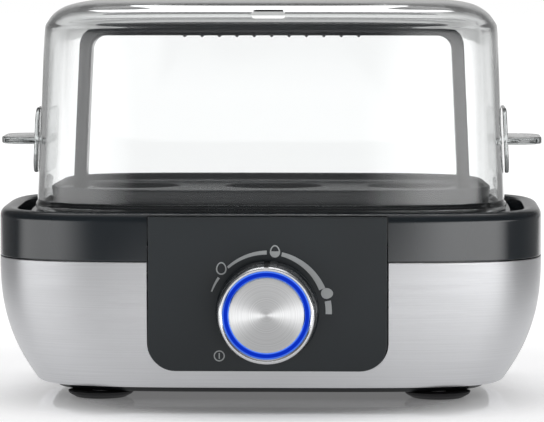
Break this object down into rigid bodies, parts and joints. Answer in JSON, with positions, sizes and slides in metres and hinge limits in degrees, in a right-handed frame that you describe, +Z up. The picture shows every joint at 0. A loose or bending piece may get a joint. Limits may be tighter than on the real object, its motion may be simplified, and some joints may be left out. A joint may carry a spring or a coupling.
{
  "type": "electric egg cooker",
  "caption": "Tabletop electric egg cooker: brushed steel tub with a dark rim and panel, a lit round control knob, a lift-out egg rack with a hoop handle, and a clear domed lid.",
  "frame": {"origin": "on the worktop, under the middle of the whole cooker's bounding box with the lid on", "axes": "+Z up; seen from the front, +X is to the right and -Y points out of the control panel at the viewer"},
  "size_m": [0.1966, 0.1396, 0.142],
  "materials": {
    "brushed_steel": "horizontally brushed stainless steel",
    "dark_plastic": "satin anthracite plastic",
    "panel_plastic": "fine-grained anthracite plastic",
    "rack_plastic": "satin anthracite plastic",
    "pan_plastic": "matt black plastic",
    "foot_rubber": "matt black rubber",
    "clear_plastic": "clear, glossy",
    "bezel": "satin chrome",
    "spun_cap": "spun, with circular brushing",
    "dial_print": "grey ink printed on the panel round the knob",
    "lit_ring": "translucent blue, lit from behind",
    "plate_steel": "satin stainless steel",
    "aluminium": "bare cast aluminium",
    "plated_steel": "zinc-plated",
    "brass": "bare",
    "silicone": "matt red silicone",
    "circuit_board": "green solder mask",
    "component_black": "moulded black",
    "component_blue": "moulded blue",
    "component_white": "off-white",
    "led_lens": "translucent",
    "wire_blue": "satin insulation",
    "wire_brown": "satin insulation"
  },
  "bodies": {
    "base": {"steel_sleeve": "brushed_steel", "upper_housing": "dark_plastic", "control_panel": "panel_plastic", "base_pan": "pan_plastic", "heating_plate": "plate_steel", "plate_gasket": "silicone", "heat_spreader": "aluminium", "heating_element": "plated_steel", "heater_bracket": "plated_steel", "bracket_screw_left": "plated_steel", "bracket_screw_right": "plated_steel", "temperature_sensor": "plated_steel", "thermal_fuse": "component_white", "heat_shield": "aluminium", "rotary_encoder": "plated_steel", "encoder_nut": "brass", "control_board": "circuit_board", "board_screw_left": "plated_steel", "board_screw_right": "plated_steel", "led_1": "led_lens", "led_2": "led_lens", "led_3": "led_lens", "led_4": "led_lens", "power_relay": "component_blue", "film_capacitor": "component_white", "buzzer": "component_black", "smoothing_capacitor": "component_black", "terminal_block": "component_white", "cord_gland": "foot_rubber", "relay_wire": "wire_brown", "board_wire": "wire_blue", "heater_wire_left": "wire_brown", "heater_wire_right": "wire_blue", "foot_front_left": "foot_rubber", "base_screw_front_left": "plated_steel", "foot_front_right": "foot_rubber", "base_screw_front_right": "plated_steel", "foot_rear_left": "foot_rubber", "base_screw_rear_left": "plated_steel", "foot_rear_right": "foot_rubber", "base_screw_rear_right": "plated_steel"},
    "rack": {"egg_rack": "rack_plastic", "rack_handle": "rack_plastic"},
    "lid": {"lid": "clear_plastic", "lid_handle_left": "clear_plastic", "lid_handle_right": "clear_plastic"},
    "knob": {"knob_skirt": "dark_plastic", "knob_pointer": "component_black", "knob_bezel": "bezel", "light_ring": "lit_ring", "knob_core": "dark_plastic", "knob_cap": "spun_cap", "knob_shaft": "plated_steel"}
  },
  "joints": [
    {"name": "rack_lift", "type": "slide", "parent": "base", "child": "rack", "axis": [0, 0, 1], "range_m": [0, 0.08]},
    {"name": "lid_lift", "type": "slide", "parent": "rack", "child": "lid", "axis": [0, 0, 1], "range_m": [0, 0.09]},
    {"name": "knob_turn", "type": "hinge", "parent": "base", "child": "knob", "pos_m": [0, -0.05503, 0.0328], "axis": [0, 1, 0], "range_deg": [-131.5, 92]}
  ]
}
